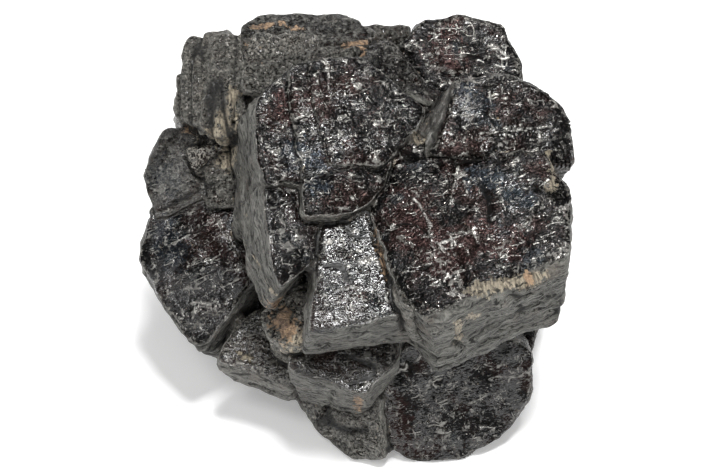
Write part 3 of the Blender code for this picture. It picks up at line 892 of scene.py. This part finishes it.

# Colour: the faces are brown-black, with blue-grey and red-brown patches, and painted glints as
# pale strokes and specks.
IRON_BLACK, BROWN_BLACK = (0.0060, 0.0056, 0.0056, 1), (0.0098, 0.0060, 0.0054, 1)
DARK_RED, DARK_BLUE = (0.0125, 0.0062, 0.0056, 1), (0.0090, 0.0120, 0.0150, 1)
DARK_GREY, RUST_FLECK = (0.0090, 0.0102, 0.0112, 1), (0.034, 0.017, 0.014, 1)
PAINTED_GLINT = (0.29, 0.28, 0.26, 1)
body = blend(ramp(cloud(lattice_place, 0.13, 4), 0.46, 0.62), IRON_BLACK, BROWN_BLACK)
body = blend(times(stained("red_brown", 1.2, 0.7), 0.8), body, DARK_RED)
body = blend(times(stained("blue_grey", 1.2, 0.7), 0.8), body, DARK_BLUE)
body = blend(ramp(cloud(lattice_place, 0.19, 3), 0.58, 0.72), body, DARK_GREY)
flecks = ramp(cloud(lattice_place, 1.3, 5, 0.75), 0.54, 0.68)
body = blend(times(flecks, 0.4), body, RUST_FLECK)
# Painted glints: pale strokes on the ridges, wisps and raised lines, and the specks, laid into the
# colour.
painted_glints = larger(times(ridges, 0.7), times(wisps, 0.5))
painted_glints = larger(painted_glints, glint_specks)
body = blend(painted_glints, body, PAINTED_GLINT)

# The walls: grey fibres, sooty and brown in places, with pale grit.
FIBRE_DARK, FIBRE_PALE = (0.009, 0.0085, 0.0074, 1), (0.172, 0.168, 0.148, 1)
WALL_SOOT, WALL_BROWN = (0.024, 0.023, 0.020, 1), (0.085, 0.062, 0.046, 1)
PALE_GRIT = (0.30, 0.285, 0.25, 1)
wall_colour = blend(ramp(fibres, 0.38, 0.64), FIBRE_DARK, FIBRE_PALE)
sooty = times(ramp(cloud(bent, 0.16, 4, 0.6), 0.45, 0.62), 0.45)
wall_colour = blend(sooty, wall_colour, WALL_SOOT)
brown = times(ramp(cloud(lattice_place, 0.22, 3), 0.54, 0.70), 0.45)
wall_colour = blend(brown, wall_colour, WALL_BROWN)
grit = ramp(cloud(lattice_place, 1.9, 4, 0.75), 0.48, 0.66)
grit = times(grit, worked_out("MULTIPLY_ADD", rough_share, 0.55, 0.3))
wall_colour = blend(grit, wall_colour, PALE_GRIT)

# Over both lie the earthy stains, the pale crust, rubbed edges, painted shade along the seams, and
# cracks with painted shade in small pits.
CREAM_DARK, CREAM_PALE = (0.085, 0.066, 0.042, 1), (0.44, 0.38, 0.28, 1)
OCHRE_DARK, OCHRE_PALE = (0.10, 0.055, 0.033, 1), (0.44, 0.29, 0.17, 1)
PALE_CRUST, RUBBED_EDGE = (0.33, 0.31, 0.27, 1), (0.15, 0.14, 0.12, 1)
SEAM_SHADE, SEAM_RIM = (0.020, 0.015, 0.011, 1), (0.33, 0.28, 0.20, 1)
CRACK_BLACK_AND_PIT_SHADE = (0.003, 0.0027, 0.0024, 1)
comb_lines = ramp(cloud(scaled(lattice_place, (1.6, 0.35, 1.0)), 1.0, 4, 0.7), 0.36, 0.64)
cream = blend(comb_lines, CREAM_DARK, CREAM_PALE)
orange = blend(ramp(cloud(lattice_place, 0.9, 5, 0.75), 0.38, 0.66), OCHRE_DARK, OCHRE_PALE)
colour = blend(matte, body, wall_colour)
pale = times(mark("pale"), ramp(cloud(lattice_place, 1.8, 5, 0.75), 0.48, 0.58))
colour = blend(times(pale, 0.8), colour, PALE_CRUST)
colour = blend(times(cream_share, 0.85), colour, cream)
colour = blend(times(orange_share, 0.85), colour, orange)
rubbed = times(ramp(edge_share, 0.25, 0.6), ramp(cloud(lattice_place, 1.3, 3), 0.48, 0.62))
colour = blend(times(rubbed, 0.45), colour, RUBBED_EDGE)
rim = times(ramp(seam_place, 0.20, 0.34), ramp(seam_place, 0.62, 0.45))
rim = times(rim, ramp(cloud(lattice_place, 0.28, 4, 0.7), 0.60, 0.67))
# Painted shade: the walls darken towards the seams where crystals meet.
seam_shade = times(ramp(seam_place, 1.5, 0.25), ramp(wall_share, 0.3, 0.7))
colour = blend(times(seam_shade, 0.8), colour, SEAM_SHADE)
colour = blend(times(rim, 0.6), colour, SEAM_RIM)
# The cracks and the painted shade in small pits are laid near-black.
colour = blend(times(cracks_and_pit_shade, 0.92), colour, CRACK_BLACK_AND_PIT_SHADE)
links.new(colour, gloss.inputs["Base Color"])

# Gloss: the polish is whole on some faces and broken into small gleams on the others,
# which are duller and metal-dark between them. Walls, stains and cracks are dull.
gleam_grain = cloud(scaled(bumpy, (0.7, 1.4, 1.0)), 1.9, 3, 0.6)
gleam_grain = plus(gleam_grain, cloud(lattice_place, 0.22, 3))
gleam = ramp(plus(gleam_grain, minus(polish_share, 1.0)), 0.47, 0.54)
gleam = larger(gleam, painted_glints)
dull = larger(larger(matte, pale), larger(times(rubbed, 0.6), rim))
darker = times(times(minus(1.0, gleam), 0.94), ramp(dull, 0.5, 0.1))
# The painted glints also turn metal, so their pale colour reads as a bright reflection under any
# light.
metal = larger(darker, times(painted_glints, ramp(dull, 0.5, 0.1)))
links.new(metal, gloss.inputs["Metallic"])
shine = ramp(gleam, 0.1, 0.9, 0.24, 0.14)
roughness = plus(shine, times(dull, 0.36))
roughness = plus(roughness, times(cracks_and_pit_shade, 0.4))
links.new(roughness, gloss.inputs["Roughness"])
gloss.inputs["IOR"].default_value = 1.55

# The height of the surface in mm: fibres where it is dull, and the relief elsewhere.
fibre_relief = plus(times(fibres, 0.9), times(grain, 0.22))
fibre_relief = plus(fibre_relief, times(patchy, 0.08))
height = nodes.new("ShaderNodeMix")
links.new(matte, height.inputs[0])
links.new(relief, height.inputs[2])
links.new(fibre_relief, height.inputs[3])
# The comb of thin ribs down one wall.
RIB_APART_MM, RIB_HEIGHT_MM = 0.8, 0.16
across = nodes.new("ShaderNodeSeparateXYZ")
links.new(drifting(lattice_place, 0.8, 0.25), across.inputs[0])
ribs = worked_out("SINE", times(across.outputs[0], 2 * math.pi / RIB_APART_MM))
ribs = times(times(ribs, ramp(mark("combed"), 0.25, 0.6)), RIB_HEIGHT_MM)
bump = nodes.new("ShaderNodeBump")
bump.inputs["Distance"].default_value = 0.001
bump.inputs["Strength"].default_value = 1.0
links.new(plus(height.outputs[0], ribs), bump.inputs["Height"])
links.new(bump.outputs["Normal"], gloss.inputs["Normal"])

covered.materials.append(stone)
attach(skin, "root")
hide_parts("crystal_cluster")


# The floor: a plain pale sheet of matt plastic under the specimen, lit a little from below
# like a light table, which softens the shadows on it.
FLOOR_SIZE_M = 6
FLOOR_PALE, FLOOR_ROUGHNESS, FLOOR_GLOW = (0.93, 0.93, 0.93, 1), 0.9, 0.17
bpy.ops.mesh.primitive_plane_add(size=FLOOR_SIZE_M)
floor = bpy.context.active_object
floor.name = "floor"
sheet = bpy.data.materials.new("floor_sheet")
sheet.use_nodes = True
sheet_look = sheet.node_tree.nodes["Principled BSDF"].inputs
sheet_look["Base Color"].default_value = FLOOR_PALE
sheet_look["Roughness"].default_value = FLOOR_ROUGHNESS
sheet_look["Emission Color"].default_value = (1, 1, 1, 1)
sheet_look["Emission Strength"].default_value = FLOOR_GLOW
floor.data.materials.append(sheet)


# Light: a small bright soft box overhead, which the glossy faces mirror, two weaker ones in
# front and a wide weak one behind, in a pale room with a dim ceiling.
BOX_AWAY_M = 0.8
LIT_MIDDLE = Vector((0, 0, 0.04))


def soft_box(name, height_deg, heading_deg, size, power):
    """A square lamp this high above the floor, turned this far round from the front."""
    lamp = bpy.data.lights.new(name, "AREA")
    lamp.shape = "RECTANGLE"
    lamp.size, lamp.size_y = size, size
    lamp.energy = power
    holder = bpy.data.objects.new(name, lamp)
    bpy.context.scene.collection.objects.link(holder)
    up, aside = math.radians(height_deg), math.radians(heading_deg)
    way = Vector((math.sin(aside) * math.cos(up), -math.cos(aside) * math.cos(up), math.sin(up)))
    holder.location = LIT_MIDDLE + way * BOX_AWAY_M
    holder.rotation_euler = way.to_track_quat("Z", "Y").to_euler()


soft_box("overhead", 78, 32, 0.17, 7.6)
soft_box("left front", 59, -28, 0.18, 1.2)
soft_box("low front", 26, 10, 0.16, 0.6)
soft_box("back", 40, 165, 0.3, 1.5)
HORIZON, CEILING = (0.40, 0.95), (0.86, 0.07)
room = bpy.data.worlds.new("room")
bpy.context.scene.world = room
room.use_nodes = True
air = room.node_tree
sky_way = air.nodes.new("ShaderNodeTexCoord")
parts = air.nodes.new("ShaderNodeSeparateXYZ")
air.links.new(sky_way.outputs["Generated"], parts.inputs[0])
fall = air.nodes.new("ShaderNodeMapRange")
fall.interpolation_type = "SMOOTHSTEP"
air.links.new(parts.outputs["Z"], fall.inputs["Value"])
fall.inputs["From Min"].default_value, fall.inputs["To Min"].default_value = HORIZON
fall.inputs["From Max"].default_value, fall.inputs["To Max"].default_value = CEILING
air.links.new(fall.outputs["Result"], air.nodes["Background"].inputs["Strength"])
air.nodes["Background"].inputs["Color"].default_value = (1, 1, 1, 1)
bpy.context.scene.view_settings.view_transform = "Standard"

# The camera: above the floor and straight in front of the seen side, as in the photo, with a
# long lens that keeps the crystals' sides nearly parallel.
LENS_MM, SENSOR_MM, CAMERA_UP_DEG, CAMERA_AWAY_M = 100, 36, 42, 0.4
AIM = Vector((0, -0.0039, 0.033))
eye = bpy.data.cameras.new("camera")
eye.lens = LENS_MM
eye.sensor_width = SENSOR_MM
eye.clip_start = 0.01
camera = bpy.data.objects.new("camera", eye)
bpy.context.scene.collection.objects.link(camera)
above = math.radians(CAMERA_UP_DEG)
camera.location = AIM + Vector((0, -math.cos(above), math.sin(above))) * CAMERA_AWAY_M
camera.rotation_euler = (math.radians(90) - above, 0, 0)
bpy.context.scene.camera = camera
